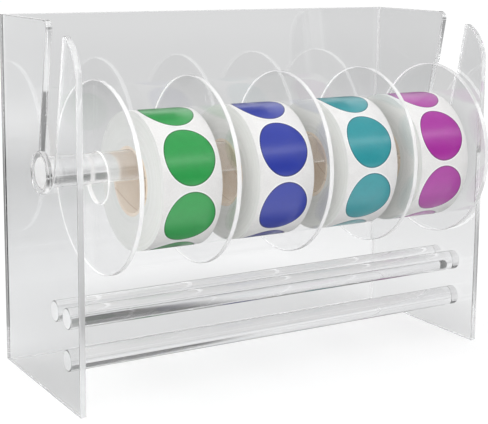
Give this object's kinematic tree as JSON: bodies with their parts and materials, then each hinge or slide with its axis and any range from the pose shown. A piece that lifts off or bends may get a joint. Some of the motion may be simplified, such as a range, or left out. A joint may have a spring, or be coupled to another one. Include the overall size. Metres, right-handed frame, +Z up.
{
  "type": "label roll holder",
  "caption": "Clear acrylic desk stand with slotted side panels that carries rolls of round labels and loose divider discs on a lift-out axle, above cross rods for the label strips.",
  "frame": {"origin": "on the table, at the middle of the floor that the whole object covers, discs and axle caps included", "axes": "+X along the axle from the first roll to the last, +Y from the open front to the back panel, +Z up"},
  "size_m": [0.3094, 0.1348, 0.228],
  "materials": {
    "panel_acrylic": "clear cast acrylic sheet with polished edges",
    "rod_acrylic": "clear extruded acrylic rod with frosted cut ends",
    "axle_acrylic": "clear extruded acrylic rod with glued caps",
    "disc_acrylic": "clear acrylic disc with polished rim",
    "core_board": "bare brown board tube",
    "backing_paper": "smooth white backing paper, wound",
    "green_label": "glossy coated label stock",
    "blue_label": "glossy coated label stock",
    "teal_label": "glossy coated label stock",
    "purple_label": "glossy coated label stock"
  },
  "bodies": {
    "stand": {"back_panel": "panel_acrylic", "left_side_panel": "panel_acrylic", "right_side_panel": "panel_acrylic", "upper_front_rod": "rod_acrylic", "upper_rear_rod": "rod_acrylic", "lower_rod": "rod_acrylic"},
    "axle": {"axle_rod": "axle_acrylic", "left_axle_cap": "axle_acrylic", "right_axle_cap": "axle_acrylic"},
    "disc_1": {"divider_disc_1": "disc_acrylic"},
    "disc_2": {"divider_disc_2": "disc_acrylic"},
    "disc_3": {"divider_disc_3": "disc_acrylic"},
    "disc_4": {"divider_disc_4": "disc_acrylic"},
    "disc_5": {"divider_disc_5": "disc_acrylic"},
    "green_roll": {"roll_core_1": "core_board", "wound_backing_1": "backing_paper", "green_label_1": "green_label", "green_label_2": "green_label", "green_label_3": "green_label", "green_label_4": "green_label", "green_label_5": "green_label", "green_label_6": "green_label"},
    "blue_roll": {"roll_core_2": "core_board", "wound_backing_2": "backing_paper", "blue_label_1": "blue_label", "blue_label_2": "blue_label", "blue_label_3": "blue_label", "blue_label_4": "blue_label", "blue_label_5": "blue_label", "blue_label_6": "blue_label"},
    "teal_roll": {"roll_core_3": "core_board", "wound_backing_3": "backing_paper", "teal_label_1": "teal_label", "teal_label_2": "teal_label", "teal_label_3": "teal_label", "teal_label_4": "teal_label", "teal_label_5": "teal_label", "teal_label_6": "teal_label"},
    "purple_roll": {"roll_core_4": "core_board", "wound_backing_4": "backing_paper", "purple_label_1": "purple_label", "purple_label_2": "purple_label", "purple_label_3": "purple_label", "purple_label_4": "purple_label", "purple_label_5": "purple_label", "purple_label_6": "purple_label"}
  },
  "joints": [
    {"name": "axle_lift", "type": "slide", "parent": "stand", "child": "axle", "axis": [0, -0.1994, 0.9799], "range_m": [0, 0.1]},
    {"name": "disc_1_slide", "type": "slide", "parent": "axle", "child": "disc_1", "axis": [1, 0, 0], "range_m": [-0.0286, 0.0199]},
    {"name": "disc_2_slide", "type": "slide", "parent": "axle", "child": "disc_2", "axis": [1, 0, 0], "range_m": [-0.0006, 0.0224]},
    {"name": "disc_3_slide", "type": "slide", "parent": "axle", "child": "disc_3", "axis": [1, 0, 0], "range_m": [-0.0006, 0.022]},
    {"name": "disc_4_slide", "type": "slide", "parent": "axle", "child": "disc_4", "axis": [1, 0, 0], "range_m": [-0.0006, 0.0162]},
    {"name": "disc_5_slide", "type": "slide", "parent": "axle", "child": "disc_5", "axis": [1, 0, 0], "range_m": [-0.0006, 0.0014]},
    {"name": "green_roll_spin", "type": "hinge", "parent": "axle", "child": "green_roll", "pos_m": [-0.07366, -0.0074, 0.1275], "axis": [1, 0, 0], "continuous": true},
    {"name": "blue_roll_spin", "type": "hinge", "parent": "axle", "child": "blue_roll", "pos_m": [-0.00685, -0.0074, 0.1275], "axis": [1, 0, 0], "continuous": true},
    {"name": "teal_roll_spin", "type": "hinge", "parent": "axle", "child": "teal_roll", "pos_m": [0.05955, -0.0074, 0.1275], "axis": [1, 0, 0], "continuous": true},
    {"name": "purple_roll_spin", "type": "hinge", "parent": "axle", "child": "purple_roll", "pos_m": [0.1202, -0.0074, 0.1275], "axis": [1, 0, 0], "continuous": true}
  ]
}
